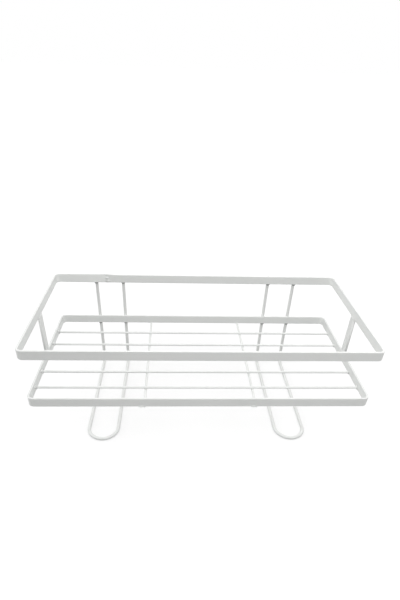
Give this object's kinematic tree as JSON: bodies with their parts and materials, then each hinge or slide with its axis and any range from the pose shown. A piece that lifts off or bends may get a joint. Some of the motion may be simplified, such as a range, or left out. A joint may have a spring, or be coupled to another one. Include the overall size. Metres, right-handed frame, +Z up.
{
  "type": "wire shelf rack",
  "caption": "Free-standing welded steel rack: a strip-framed wire deck under a raised strip guard rail, carried at the back by bent wire legs with looped feet.",
  "frame": {"origin": "middle of the footprint, on the surface that the feet stand on", "axes": "+X along the length of the deck to the right, +Y to the back where the legs stand, +Z up"},
  "size_m": [0.4, 0.1888, 0.156],
  "materials": {
    "powder_coat": "satin white powder coat on steel"
  },
  "bodies": {
    "root": {"upper_rail": "powder_coat", "deck_frame": "powder_coat", "side_strut_left": "powder_coat", "side_strut_right": "powder_coat", "deck_wire_1": "powder_coat", "deck_wire_2": "powder_coat", "deck_wire_3": "powder_coat", "deck_wire_4": "powder_coat", "deck_wire_5": "powder_coat", "cross_wire_left": "powder_coat", "cross_wire_right": "powder_coat", "leg_left": "powder_coat", "leg_right": "powder_coat"}
  },
  "joints": []
}
